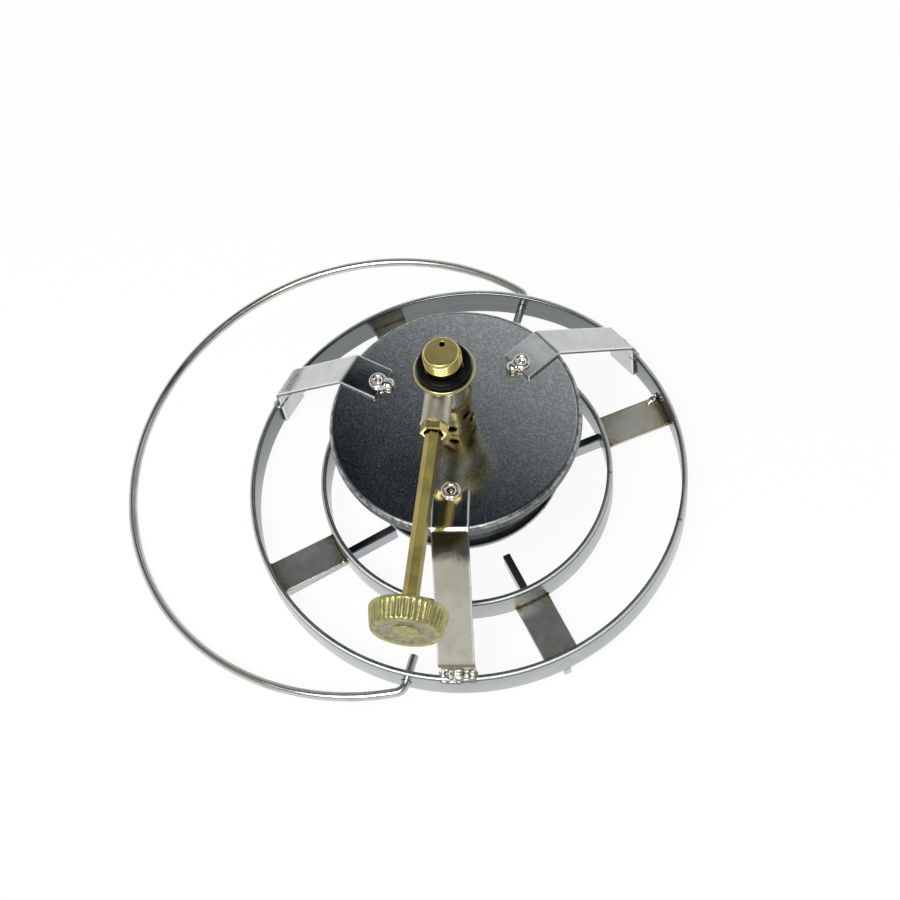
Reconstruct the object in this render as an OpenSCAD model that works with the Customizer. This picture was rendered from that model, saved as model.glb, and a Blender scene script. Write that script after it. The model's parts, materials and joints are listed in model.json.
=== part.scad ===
// Camping gas stove head, lying upside down on its pot rests as it is stored and packed.
// Z = 0 is the plane of the pot rests, +Z runs towards the gas inlet, -Y towards the control knob.

/* [Rings] */
// Outside diameter of the outer ring
outer_d = 200; // [170:1:240]
// Outside diameter of the inner ring
inner_d = 132.8; // [116:0.2:145]
// Height of the flat bar that both rings are rolled from
ring_h = 15.5; // [13:0.5:20]
// Thickness of that bar
ring_t = 2.5; // [2:0.1:4]
// Height of the inner ring above the outer ring
ring_step = 3; // [1.5:0.5:5]
// Radius of the bar's rounded edges
ring_edge = 0.8; // [0.4:0.1:0.9]

/* [Pot rests] */
// Height of a pot rest bar
rest_h = 8.5; // [6:0.5:12]
// Thickness of a pot rest bar
rest_t = 3.5; // [2:0.1:6]
// Length that a bar runs on inside the inner ring
rest_reach = 27.4; // [20:0.2:35]
// Directions of the four bars
rest_az = [27.6, 119.9, 215.6, 302.1]; // [0:0.1:360]

/* [Spokes and hangers] */
// Width of the spokes and hangers
strip_w = 16; // [10:0.5:20]
// Thickness of a spoke
spoke_t = 2; // [1:0.1:3]
// Directions of the four spokes
spoke_az = [27.6, 119.9, 213.1, 302.1]; // [0:0.1:360]
// Thickness of a hanger
strip_t = 1.5; // [1:0.1:2]
// Distance of a hanger's foot above the lower edge of the outer ring
foot_inset = 1; // [0.5:0.1:2]
// Directions of the three hangers
hanger_az = [274.6, 47.1, 157]; // [0:0.1:360]
// Slope of the hangers between the ring and the base plate
hanger_slope = 46; // [43:1:52]
// Inside radius of the bend above the ring
hanger_bend_r = 2.5; // [1.5:0.5:8]
// Length of the land on the base plate
hanger_land = 16.5; // [10:0.5:20]
// Root gap of a welded joint
weld_gap = 0.05; // [0.02:0.01:0.2]

/* [Burner] */
// Height of the burner's rim above the pot plane
burner_gap = 36; // [30:1:45]
// Depth of the burner bowl
bowl_h = 36.3; // [28:0.1:45]
// Radius of the bowl's wall
bowl_r = 44; // [40:0.5:48]
// Thickness of the bowl's sheet
bowl_t = 1; // [0.8:0.1:1.5]
// Radius of the bowl's pressed corner
bowl_corner = 7; // [4:0.5:10]
// Radius of the bead rolled round the bowl's rim
bead_r = 1.05; // [0.9:0.05:1.8]
// Diameter of the base plate
plate_d = 109.4; // [106:0.2:125]
// Thickness of the base plate
plate_t = 1.2; // [0.8:0.1:2]
// Depth of the plate's turned-down lip
lip_h = 5; // [4:0.5:8]
// Outer radius of the lip's corner
lip_corner = 2.5; // [2:0.1:3.5]
// Thickness of the burner cap
cap_t = 1.2; // [0.8:0.1:2]
// Depth to which the cap is pushed into the bowl
cap_skirt = 6; // [4:0.5:10]
// Height of the cap's raised centre
cap_rise = 3; // [2:0.5:5]
// Radius of the cap's raised centre
cap_centre_r = 29; // [26:0.5:32]
// Diameter of a flame port
port_d = 2.8; // [2:0.1:3.5]
// Radii of the rings of flame ports
port_ring_r = [36, 24, 15]; // [5:1:40]
// Number of ports in each of those rings
port_count = [36, 20, 12]; // [6:1:48]

/* [Mixing tube] */
// Diameter of the mixing tube
tube_d = 18; // [16.5:0.5:20]
// Wall of the mixing tube
tube_wall = 1.6; // [1:0.1:2]
// Height of the tube above the base plate
tube_h = 20.5; // [18:0.5:30]
// Height of the rim round the top of the tube
tube_rim_h = 1.4; // [1:0.1:3]
// Width of that rim past the tube
tube_rim = 0.5; // [0.3:0.1:1.5]
// Diameter of the threaded spigot below the plate
spigot_d = 13; // [12:0.1:13.5]
// Length of that spigot inside the bowl
spigot_len = 12; // [9:0.5:16]
// Diameter of an air hole
air_d = 4.6; // [3.5:0.1:5.5]
// Heights of the rows of air holes above the base plate
air_z = [5.5, 12]; // [4:0.5:14]
// Direction of the first air hole in each row
air_az = [-15, -37]; // [-90:1:90]
// Number of air holes in a row
air_count = 5; // [3:1:6]
// Width across the flats of the tube's lock nut
tube_nut_af = 18; // [16:0.5:22]
// Thickness of the lock nut
tube_nut_h = 5; // [4:0.5:7]

/* [Valve] */
// Diameter of the valve body
body_d = 17; // [16.5:0.1:20]
// Height of the valve body
body_h = 18.5; // [18:0.5:24]
// Depth of the body's neck inside the mixing tube
neck_h = 4; // [3:0.5:6]
// Diameter of the boss that carries the spindle
boss_d = 12; // [11:0.1:13]
// Distance of the boss's end from the inlet axis
boss_len = 20.8; // [18:0.1:26]
// Sideways offset of the spindle from the inlet axis
stem_x = -2.7; // [-3.2:0.1:-1.5]
// Diameter of the inlet flange
flange_d = 25.8; // [24:0.1:30]
// Thickness of the inlet flange
flange_t = 2.5; // [1.5:0.1:4]
// Diameter of the inlet thread
inlet_d = 16; // [14:0.1:18]
// Length of the inlet thread
inlet_len = 12.5; // [10:0.5:18]
// Diameter of the seal's groove below the thread
groove_d = 14.8; // [13.5:0.1:15]
// Height of that groove
groove_h = 4.2; // [3.8:0.1:5]
// Chamfer at the tip of the inlet
inlet_chamfer = 1.3; // [0.5:0.1:2]
// Diameter of the gas hole in the tip
gas_hole_d = 2.4; // [1.5:0.1:2.6]
// Distance of the gas hole from the inlet axis
gas_hole_y = 3.6; // [3:0.1:3.7]
// Section diameter of the inlet seal
seal_section = 3.5; // [2.5:0.1:3.7]
// Diameter of the inlet's shank inside the body
shank_d = 10; // [9.5:0.1:11]
// Length of that shank
shank_len = 3.5; // [2.5:0.1:4]
// Diameter of the gas jet
jet_d = 5; // [4:0.1:6]
// Length of the gas jet inside the body
jet_len = 4; // [3:0.1:4.5]
// Length of the jet's head inside the mixing tube
jet_head = 3; // [2:0.5:4]

/* [Control] */
// Diameter of the spindle's threaded part
spindle_d = 6; // [5:0.1:6.5]
// Diameter of the spindle's neck
spindle_neck_d = 4; // [3:0.1:4.2]
// Diameter of the packing chamber
packing_d = 8; // [7.5:0.1:8.5]
// Length of the packing
packing_len = 3.2; // [2:0.1:4]
// Wall of the gland nut's cup, at its flats
gland_wall = 1; // [0.7:0.1:1.6]
// Length of the gland nut's head
gland_head = 4; // [3.4:0.1:6]
// Thickness of the gland nut's floor
gland_floor = 1.6; // [1.2:0.1:2]
// Space round the stem inside the cup
cup_gap = 0.6; // [0.3:0.1:0.9]
// Width across the flats of the stem
stem_af = 6; // [5.5:0.1:8]
// Distance of the knob's back from the inlet axis
knob_back = 102.7; // [90:0.1:120]
// Depth of the stem's socket round the spindle's neck
stem_socket = 8; // [6:0.5:12]
// Largest diameter of the knob, at its back band
knob_d = 32; // [28:0.1:36]
// Thickness of the knob
knob_t = 10.2; // [9:0.1:14]
// Amount by which the knob's radius falls towards its face
knob_taper = 1.5; // [0.8:0.1:2]
// Number of ribs round the knob
rib_count = 40; // [30:1:48]
// Depth of the grooves at the narrow end of the ribs
rib_depth = 0.5; // [0.2:0.05:0.6]
// Plain band at the back of the knob
knob_band = 1.9; // [1.2:0.1:2.5]
// Rounding of the knob's edges
knob_bevel = 1.1; // [0.8:0.1:2]
// Width of the rim round the knob's recessed face
knob_rim = 1.9; // [1:0.1:3]
// Depth of the recess in the knob's face
knob_recess = 0.7; // [0.5:0.1:1.5]
// Diameter of the stem's riveted end
rivet_d = 12; // [8:0.5:14]
// Diameter of the stem's end in the knob
stem_end_d = 5; // [4:0.1:5.2]

/* [Bail] */
// Diameter of the bail's wire
wire_d = 4; // [3:0.1:5]
// Distance of the bail's bends from the outer ring, at the middle of the wire
bail_side = 1.42; // [0.8:0.02:4]
// Distance of the loop's centre from the pivot line
bail_offset = 47.6; // [40:0.1:60]
// Radius of the bends beside the ring, at the middle of the wire
bail_bend_r = 5; // [4.5:0.1:7]
// Length of the bail's ends inside the ring
bail_end = 10; // [6:0.5:16]
// Direction of the pivot line
bail_az = 81; // [60:1:100]

/* [Fits] */
// Running clearance round a turning part
run_gap = 0.05; // [0.02:0.01:0.1]
// Clearance between pieces that are screwed or pushed together
seat_gap = 0.03; // [0.02:0.01:0.1]
// Clearance between moving pieces that only pass each other
free_gap = 0.4; // [0.3:0.1:0.6]

/* [Hidden] */
$fn = 64;
bend_steps = 6;

outer_r = outer_d / 2;
inner_r = inner_d / 2;
rest_inner_r = inner_r - rest_reach;
outer_z = rest_h - ring_step;
outer_top = outer_z + ring_h;
inner_top = rest_h + ring_h;
pivot_z = outer_z + ring_h / 2;

plate_r = plate_d / 2;
plate_z = burner_gap + bowl_h;
plate_top = plate_z + plate_t;
cap_r = bowl_r - bowl_t - seat_gap;
bead_lap = 0.1;

tube_r = tube_d / 2;
tube_top = plate_top + tube_h;
tube_bore_r = tube_r - tube_wall;
spigot_r = spigot_d / 2;
spigot_bore_r = spigot_r - tube_wall;
spigot_z = plate_z - bowl_t - spigot_len;

body_r = body_d / 2;
body_top = tube_top + body_h;
stem_z = tube_top + body_h / 2;
flange_top = body_top + flange_t;
inlet_r = inlet_d / 2;
inlet_top = flange_top + inlet_len;
neck_r = tube_bore_r - seat_gap;
jet_chamber_h = 1.5;
passage_r = 0.8;
seat_hole_r = 1.1;

spindle_r = spindle_d / 2;
spindle_bore_r = spindle_r + run_gap;
spindle_neck_r = spindle_neck_d / 2;
needle_len = 2.4;
needle_tip_r = 0.4;
seat_y = 3;
spindle_start = seat_y + 0.2;
gland_start = boss_len - 2.4;
packing_start = gland_start - packing_len - seat_gap;
spindle_end = packing_start - free_gap;
stem_start = boss_len + gland_floor + free_gap;
cup_r = hex_r(stem_af) + cup_gap;
gland_flat_r = cup_r + gland_wall;
stem_end_r = stem_end_d / 2;
knob_face = knob_back + knob_t;

wire_r = wire_d / 2;
bend_swell = 0.12;
bend_lap = 1.2;
bend_trim = 2;
bail_bend_x = outer_r + bail_side;
bail_r = bail_bend_r + norm([bail_bend_x, bail_offset - bail_bend_r]);
bail_reach = bail_offset + bail_r;
bail_droop = asin((pivot_z - wire_r) / bail_reach);
bail_bend_turn = atan2(bail_bend_x, bail_offset - bail_bend_r);

STEEL = [0.74, 0.76, 0.77];
STRIP = [0.68, 0.69, 0.68];
DARK = [0.33, 0.35, 0.37];
BRASS = [0.71, 0.61, 0.31];
NICKEL = [0.60, 0.59, 0.54];
RUBBER = [0.07, 0.07, 0.08];

// Points along an arc about c, from angle a to angle b.
function arc(c, r, a, b) =
    [for (i = [0:bend_steps]) c + r * [cos(a + (b - a) * i / bend_steps), sin(a + (b - a) * i / bend_steps)]];

// Distance from the axis at which the corners of a flat strip meet the inside of a round wall.
function inside_wall(r) = sqrt(r * r - strip_w * strip_w / 4) - weld_gap;

// Corner-to-corner radius of a hexagon from its width across the flats.
function hex_r(af) = af / 2 / cos(30);

// Flat bar rolled on edge into a ring, with rounded edges.
module rolled_ring(r, z) {
    e = ring_edge;
    out_x = r - e;
    in_x = r - ring_t + e;
    translate([0, 0, z])
        rotate_extrude()
            polygon(concat(arc([out_x, e], e, -90, 0), arc([out_x, ring_h - e], e, 0, 90),
                           arc([in_x, ring_h - e], e, 90, 180), arc([in_x, e], e, 180, 270)));
}

// Side view of a strip, given as radius and height, made as wide as the strip and turned to its direction.
module strip(az, outline) {
    rotate([0, 0, az])
        rotate([90, 0, 0])
            translate([0, 0, -strip_w / 2])
                linear_extrude(strip_w)
                    polygon(outline);
}

// The stem's own frame: origin where the spindle passes the inlet axis, +Z out towards the knob.
module along_stem(start = 0) {
    translate([stem_x, 0, stem_z])
        rotate([90, 0, 0])
            translate([0, 0, start])
                children();
}

module outer_ring() {
    color(STEEL)
        difference() {
            rolled_ring(outer_r, outer_z);
            translate([0, 0, pivot_z])
                rotate([0, 90, bail_az])
                    cylinder(r = wire_r + free_gap, h = outer_d + wire_d, center = true);
        }
}

module inner_ring() {
    color(STEEL) rolled_ring(inner_r, rest_h);
}

// Bar on edge, stepped down at its outer end to pass under the outer ring.
module pot_rest(az) {
    step_x = outer_r - ring_t - free_gap;
    color(STEEL)
        rotate([0, 0, az])
            rotate([90, 0, 0])
                translate([0, 0, -rest_t / 2])
                    linear_extrude(rest_t)
                        polygon([[rest_inner_r, 0], [outer_r, 0], [outer_r, outer_z], [step_x, outer_z],
                                 [step_x, rest_h], [rest_inner_r, rest_h]]);
}

// Flat bar lying on its pot rest, its ends cut to the curves of the rings and welded there.
module spoke(az) {
    under = rest_h + weld_gap;
    reach = outer_r - ring_t - weld_gap;
    color(STRIP)
        difference() {
            intersection() {
                translate([0, 0, under])
                    cylinder(r = reach, h = spoke_t, $fn = 180);
                rotate([0, 0, az])
                    translate([0, -strip_w / 2, under - 1])
                        cube([outer_r, strip_w, spoke_t + 2]);
            }
            translate([0, 0, under - 1])
                cylinder(r = inner_r + weld_gap, h = spoke_t + 2, $fn = 180);
        }
}

// Strip that rises from inside the outer ring and slopes in to lie flat on the base plate.
module hanger(az) {
    turn = 90 - hanger_slope;
    out_x = inside_wall(outer_r - ring_t);
    low_x = out_x - strip_t - hanger_bend_r;
    high_r = lip_corner + weld_gap;
    high_c = [plate_r - lip_corner, plate_top - lip_corner];
    run = low_x - high_c[0] + (hanger_bend_r - high_r) * cos(turn);
    low_c = [low_x, high_c[1] - run * tan(hanger_slope) - (hanger_bend_r - high_r) * sin(turn)];
    tip_x = high_c[0] - hanger_land;
    land_z = plate_top + weld_gap;
    foot_z = outer_z + foot_inset;
    color(STRIP)
        strip(az, concat([[out_x, foot_z]],
                         arc(low_c, hanger_bend_r + strip_t, 0, turn),
                         arc(high_c, high_r + strip_t, turn, 90),
                         [[tip_x, land_z + strip_t], [tip_x, land_z]],
                         arc(high_c, high_r, 90, turn),
                         arc(low_c, hanger_bend_r, turn, 0),
                         [[out_x - strip_t, foot_z]]));
}

// Round plate pressed with a turned-down lip.
module base_plate() {
    lip_in = lip_corner - plate_t;
    corner = [plate_r - lip_corner, plate_top - lip_corner];
    color(DARK)
        rotate_extrude()
            polygon(concat([[spigot_r + seat_gap, plate_top]],
                           arc(corner, lip_corner, 90, 0),
                           [[plate_r, plate_top - lip_h], [plate_r - plate_t, plate_top - lip_h]],
                           arc(corner, lip_in, 0, 90),
                           [[spigot_r + seat_gap, plate_z]]));
}

// Deep-drawn bowl, its closed end against the plate and a bead rolled round its rim.
module burner_bowl() {
    top = plate_z - seat_gap;
    corner = [bowl_r - bowl_corner, top - bowl_corner];
    inner_corner = bowl_corner - bowl_t;
    color(STEEL)
        union() {
            rotate_extrude()
                polygon(concat([[spigot_r + seat_gap, top]],
                               arc(corner, bowl_corner, 90, 0),
                               [[bowl_r, burner_gap + bead_r], [bowl_r - bowl_t, burner_gap + bead_r]],
                               arc(corner, inner_corner, 0, 90),
                               [[spigot_r + seat_gap, top - bowl_t]]));
            translate([0, 0, burner_gap + bead_r])
                rotate_extrude()
                    translate([bowl_r - bowl_t + bead_r + bead_lap, 0])
                        circle(r = bead_r);
        }
}

// Pressed cap pushed into the bowl, with rings of flame ports.
module burner_cap() {
    edge_z = burner_gap + cap_t;
    slope_r = cap_centre_r + cap_rise;
    color(DARK)
        difference() {
            rotate_extrude()
                polygon([[0, burner_gap - cap_rise], [cap_centre_r, burner_gap - cap_rise],
                         [slope_r, burner_gap], [cap_r, burner_gap], [cap_r, burner_gap + cap_skirt],
                         [cap_r - cap_t, burner_gap + cap_skirt], [cap_r - cap_t, edge_z],
                         [slope_r - cap_t / 2, edge_z], [cap_centre_r - cap_t / 2, edge_z - cap_rise],
                         [0, edge_z - cap_rise]]);
            for (k = [0:len(port_ring_r) - 1], i = [0:port_count[k] - 1])
                rotate([0, 0, 360 * i / port_count[k]])
                    translate([port_ring_r[k], 0, burner_gap - 2 * cap_rise])
                        cylinder(d = port_d, h = 4 * cap_rise, $fn = 24);
        }
}

// Brass tube with air holes, shouldered on the plate and threaded below it.
module mixing_tube() {
    color(BRASS)
        difference() {
            rotate_extrude()
                polygon([[spigot_bore_r, spigot_z], [spigot_r, spigot_z], [spigot_r, plate_top],
                         [tube_r, plate_top], [tube_r, tube_top - tube_rim_h - tube_rim],
                         [tube_r + tube_rim, tube_top - tube_rim_h], [tube_r + tube_rim, tube_top],
                         [tube_bore_r, tube_top], [tube_bore_r, plate_top + tube_wall],
                         [spigot_bore_r, plate_top]]);
            for (k = [0:len(air_z) - 1], i = [0:air_count - 1])
                rotate([0, 0, air_az[k] + 360 * i / air_count])
                    translate([0, 0, plate_top + air_z[k]])
                        rotate([0, 90, 0])
                            cylinder(d = air_d, h = tube_d);
        }
}

// Hexagon nut that clamps the bowl and the plate to the mixing tube.
module tube_nut() {
    color(BRASS)
        translate([0, 0, plate_z - bowl_t - 2 * seat_gap - tube_nut_h])
            difference() {
                cylinder(r = hex_r(tube_nut_af), h = tube_nut_h, $fn = 6);
                translate([0, 0, -1])
                    cylinder(r = spigot_r + seat_gap, h = tube_nut_h + 2);
            }
}

// Jet screwed into the underside of the valve body, its orifice on the tube's axis.
module gas_jet() {
    jet_r = jet_d / 2;
    orifice_r = 0.4;
    head_r = jet_r + 1;
    under = tube_top - neck_h;
    color(BRASS)
        rotate_extrude()
            polygon([[orifice_r, under - jet_head], [jet_r, under - jet_head], [head_r, under - jet_head + 1],
                     [head_r, under - seat_gap], [jet_r, under - seat_gap], [jet_r, under + jet_len],
                     [jet_r / 2, under + jet_len], [jet_r / 2, under - jet_head + 1],
                     [orifice_r, under - jet_head + 1]]);
}

// Plated valve body: an upright barrel with the spindle's boss on its side, drilled for the gas.
module valve_body() {
    under = tube_top - neck_h;
    chamber_z = under + jet_len + jet_chamber_h;
    chamber_r = abs(stem_x) + 2 * passage_r;
    shank_z = body_top - shank_len - 1;
    color(NICKEL)
        difference() {
            union() {
                rotate_extrude()
                    polygon([[0, under], [neck_r, under], [neck_r, tube_top + seat_gap],
                             [body_r, tube_top + seat_gap], [body_r, body_top], [0, body_top]]);
                along_stem()
                    cylinder(d = boss_d, h = boss_len);
            }
            translate([0, 0, shank_z])
                cylinder(r = shank_d / 2 + seat_gap, h = body_h);
            translate([0, 0, under - 1])
                cylinder(r = jet_d / 2 + seat_gap, h = jet_len + 1);
            translate([0, 0, under + jet_len - seat_gap])
                cylinder(r = chamber_r, h = jet_chamber_h);
            translate([stem_x, 0, chamber_z - jet_chamber_h])
                cylinder(r = passage_r, h = stem_z - chamber_z + jet_chamber_h);
            translate([stem_x, -seat_y - 1.5 * passage_r, stem_z])
                cylinder(r = passage_r, h = shank_z - stem_z + 1);
            along_stem(-2 * seat_hole_r)
                cylinder(r = seat_hole_r, h = seat_y + 2 * seat_hole_r + 1);
            along_stem(seat_y)
                cylinder(r = spindle_bore_r, h = boss_len);
            along_stem(packing_start - seat_gap)
                cylinder(d = packing_d, h = boss_len);
        }
}

// Brass inlet: flange, threaded tip with its gas hole beside the centre, and shank in the body.
module inlet_spigot() {
    shank_z = body_top - shank_len;
    seat_z = body_top + seat_gap;
    c = inlet_chamfer;
    color(BRASS)
        difference() {
            rotate_extrude()
                polygon([[0, shank_z], [shank_d / 2, shank_z], [shank_d / 2, seat_z],
                         [flange_d / 2 - c / 2, seat_z], [flange_d / 2, seat_z + c / 2],
                         [flange_d / 2, flange_top - c / 2], [flange_d / 2 - c / 2, flange_top],
                         [groove_d / 2, flange_top], [groove_d / 2, flange_top + groove_h],
                         [inlet_r, flange_top + groove_h], [inlet_r, inlet_top - c], [inlet_r - c, inlet_top],
                         [0, inlet_top]]);
            translate([0, gas_hole_y, shank_z - 1])
                cylinder(d = gas_hole_d, h = inlet_len + body_h, $fn = 32);
        }
}

// Round rubber ring that seals the cylinder's mouth against the flange.
module inlet_seal() {
    section_r = seal_section / 2;
    color(RUBBER)
        translate([0, 0, flange_top + section_r + seat_gap])
            rotate_extrude()
                translate([inlet_r + section_r, 0])
                    circle(r = section_r);
}

module gland_packing() {
    color(RUBBER)
        along_stem(packing_start)
            difference() {
                cylinder(r = packing_d / 2 - seat_gap, h = packing_len);
                translate([0, 0, -1])
                    cylinder(r = spindle_neck_r + run_gap, h = packing_len + 2);
            }
}

// Cup-shaped hexagon nut that presses the packing round the spindle's neck; the stem turns inside the cup.
module gland_nut() {
    head_z = boss_len + seat_gap;
    head_end = head_z + gland_head;
    face_r = gland_flat_r - 0.15;
    past_r = hex_r(2 * gland_flat_r) + 0.3;
    color(BRASS)
        difference() {
            union() {
                along_stem(gland_start)
                    cylinder(r = packing_d / 2 - seat_gap, h = boss_len - gland_start + 1);
                intersection() {
                    along_stem(head_z)
                        cylinder(r = hex_r(2 * gland_flat_r), h = gland_head, $fn = 6);
                    along_stem()
                        rotate_extrude()
                            polygon([[0, head_z - 1], [past_r, head_z - 1],
                                     [past_r, head_end + 1 - (past_r - face_r) * tan(30)],
                                     [face_r - 1 / tan(30), head_end + 1], [0, head_end + 1]]);
                }
            }
            along_stem(gland_start - 1)
                cylinder(r = spindle_neck_r + run_gap, h = boss_len + gland_head);
            along_stem(boss_len + gland_floor)
                cylinder(r = cup_r, h = gland_head);
        }
}

// Needle, threaded part and neck turned in one piece.
module valve_spindle() {
    color(BRASS)
        along_stem()
            rotate_extrude()
                polygon([[0, spindle_start], [needle_tip_r, spindle_start],
                         [spindle_r / 2, spindle_start + needle_len], [spindle_r, spindle_start + needle_len],
                         [spindle_r, spindle_end], [spindle_neck_r, spindle_end],
                         [spindle_neck_r, stem_start + stem_socket - seat_gap],
                         [0, stem_start + stem_socket - seat_gap]]);
}

// Hexagon rod, drilled for the spindle's neck and riveted over in the knob's face.
module stem_rod() {
    button_z = knob_face - knob_recess + seat_gap;
    color(BRASS)
        difference() {
            union() {
                along_stem(stem_start)
                    cylinder(r = hex_r(stem_af), h = knob_back - seat_gap - stem_start, $fn = 6);
                along_stem(knob_back - 1)
                    cylinder(r = stem_end_r, h = button_z - knob_back + 1.5);
                along_stem()
                    rotate_extrude()
                        polygon([[0, button_z], [rivet_d / 2, button_z], [rivet_d / 2 - 0.6, button_z + knob_recess],
                                 [0, button_z + knob_recess]]);
            }
            along_stem(stem_start - 1)
                cylinder(r = spindle_neck_r + seat_gap, h = stem_socket + 1);
        }
}

// Turned knob, tapered towards its face, with straight ribs, a plain band at the back and a recessed face.
module knob() {
    rib = 360 / rib_count;
    band_r = knob_d / 2;
    face_r = band_r - knob_taper;
    groove_r = face_r - rib_depth;
    recess_r = face_r - knob_bevel - knob_rim;
    past = 1;
    color(BRASS)
        along_stem(knob_back)
            difference() {
                intersection() {
                    union() {
                        cylinder(r = band_r + past, h = knob_band);
                        translate([0, 0, knob_band / 2])
                            linear_extrude(knob_t)
                                polygon([for (i = [0:rib_count - 1], p = [[groove_r, -0.38], [band_r + past, -0.2],
                                                                          [band_r + past, 0.2], [groove_r, 0.38]])
                                         p[0] * [cos(rib * (i + p[1])), sin(rib * (i + p[1]))]]);
                    }
                    rotate_extrude()
                        polygon([[0, 0], [band_r - knob_bevel, 0], [band_r - knob_bevel / 3, knob_band / 3],
                                 [band_r, 0.8 * knob_band], [face_r, knob_t - knob_bevel],
                                 [face_r - knob_bevel / 3, knob_t - knob_bevel / 3],
                                 [face_r - knob_bevel, knob_t], [0, knob_t]]);
                }
                translate([0, 0, knob_t - knob_recess])
                    cylinder(r = recess_r, h = knob_t);
                translate([0, 0, -past])
                    cylinder(r = stem_end_r + seat_gap, h = knob_t + 2 * past);
            }
}

// Round wire: a wide loop whose ends turn in through the outer ring.
module bail_handle() {
    loop_turn = 90 - bail_bend_turn;
    color(STEEL)
        translate([0, 0, pivot_z])
            rotate([0, 0, bail_az])
                rotate([-bail_droop, 0, 0]) {
                    translate([0, bail_offset, 0])
                        rotate([0, 0, -loop_turn])
                            rotate_extrude(angle = 180 + 2 * loop_turn)
                                translate([bail_r, 0])
                                    circle(r = wire_r);
                    for (side = [0, 1])
                        mirror([side, 0, 0]) {
                            translate([bail_bend_x, bail_bend_r, 0])
                                rotate([0, 0, bend_trim - 90])
                                    rotate_extrude(angle = 90 - loop_turn - 2 * bend_trim)
                                        translate([bail_bend_r, 0])
                                            circle(r = wire_r);
                            translate([outer_r - ring_t - bail_end, 0, 0])
                                rotate([0, 90, 0])
                                    cylinder(r = wire_r, h = bail_bend_x - outer_r + ring_t + bail_end);
                            translate([bail_bend_x, 0, 0])
                                rotate([0, 90, 0])
                                    cylinder(r = wire_r + bend_swell, h = bend_lap, center = true);
                            translate([bail_r * cos(loop_turn), bail_offset - bail_r * sin(loop_turn), 0])
                                rotate([90, 0, -loop_turn])
                                    cylinder(r = wire_r + bend_swell, h = bend_lap, center = true);
                        }
                }
}

outer_ring();
inner_ring();
spoke(spoke_az[0]);  // spoke_1
spoke(spoke_az[1]);  // spoke_2
spoke(spoke_az[2]);  // spoke_3
spoke(spoke_az[3]);  // spoke_4
pot_rest(rest_az[0]);  // pot_rest_1
pot_rest(rest_az[1]);  // pot_rest_2
pot_rest(rest_az[2]);  // pot_rest_3
pot_rest(rest_az[3]);  // pot_rest_4
hanger(hanger_az[0]);  // hanger_1
hanger(hanger_az[1]);  // hanger_2
hanger(hanger_az[2]);  // hanger_3
base_plate();
burner_bowl();
burner_cap();
mixing_tube();
tube_nut();
gas_jet();
valve_body();
inlet_spigot();
inlet_seal();
gland_packing();
gland_nut();
valve_spindle();
stem_rod();
knob();
bail_handle();
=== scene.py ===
import json
import math
import random

import bpy
from mathutils import Matrix, Vector


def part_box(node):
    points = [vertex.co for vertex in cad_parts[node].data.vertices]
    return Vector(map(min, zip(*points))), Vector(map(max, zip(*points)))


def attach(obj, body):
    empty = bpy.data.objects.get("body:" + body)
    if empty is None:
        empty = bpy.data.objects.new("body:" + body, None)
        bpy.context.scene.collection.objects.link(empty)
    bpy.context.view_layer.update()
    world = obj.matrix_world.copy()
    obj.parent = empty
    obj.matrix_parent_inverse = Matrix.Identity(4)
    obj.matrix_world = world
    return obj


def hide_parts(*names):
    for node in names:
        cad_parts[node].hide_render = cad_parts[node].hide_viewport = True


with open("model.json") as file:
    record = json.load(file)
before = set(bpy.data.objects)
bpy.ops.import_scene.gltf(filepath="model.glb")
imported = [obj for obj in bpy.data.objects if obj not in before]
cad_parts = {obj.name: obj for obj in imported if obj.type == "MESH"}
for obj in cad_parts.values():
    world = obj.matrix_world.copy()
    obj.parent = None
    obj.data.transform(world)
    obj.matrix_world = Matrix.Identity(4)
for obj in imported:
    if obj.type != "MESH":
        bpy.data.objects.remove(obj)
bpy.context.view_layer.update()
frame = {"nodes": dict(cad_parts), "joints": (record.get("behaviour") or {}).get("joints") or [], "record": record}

# Outer ring
# Flat steel bar rolled on edge, butt welded at one seam and bright plated.
# Its edges are rounded by the rolling; the welds of the spokes have left brown bloom on its inside.
MM = 0.001
OUTER_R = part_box("outer_ring")[1].x
RING_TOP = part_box("outer_ring")[1].z
RING_T = 2.5 * MM
RING_WALL = OUTER_R - RING_T
OUTER_SEAM_AZ = -9.5
SPOKE_AZ = (27.6, 119.9, 213.1, 302.1)
SPOKE_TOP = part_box("spoke_1")[1].z
BLOOM_Z = SPOKE_TOP + 1.0 * MM
SAME_POINT = 0.002 * MM
SAME_PLANE = math.radians(0.4)
body_of = {n: b for b, nodes in frame["record"]["behaviour"]["bodies"].items() for n in nodes}


def new_node(tree, kind, inputs=None, **settings):
    """A shader node with its settings made and its inputs set or linked."""
    made = tree.nodes.new("ShaderNode" + kind)
    for name, value in settings.items():
        setattr(made, name, value)
    for name, value in (inputs or {}).items():
        if isinstance(value, bpy.types.NodeSocket):
            tree.links.new(value, made.inputs[name])
        else:
            made.inputs[name].default_value = value
    return made


def math_of(tree, operation, first, second=0.0, third=0.0):
    """The output of one Math node."""
    return new_node(tree, "Math", {0: first, 1: second, 2: third}, operation=operation).outputs[0]


def step_of(tree, value, low, high, start=0.0, end=1.0):
    """A smooth step of a value from low to high."""
    made = new_node(tree, "MapRange", {"Value": value, "From Min": low, "From Max": high,
                                       "To Min": start, "To Max": end}, interpolation_type="SMOOTHSTEP")
    return made.outputs[0]


def band_of(tree, value, rise, fall):
    """A mask that rises over one span of a value and falls over another."""
    return math_of(tree, "MULTIPLY", step_of(tree, value, *rise), step_of(tree, value, *fall))


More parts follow.
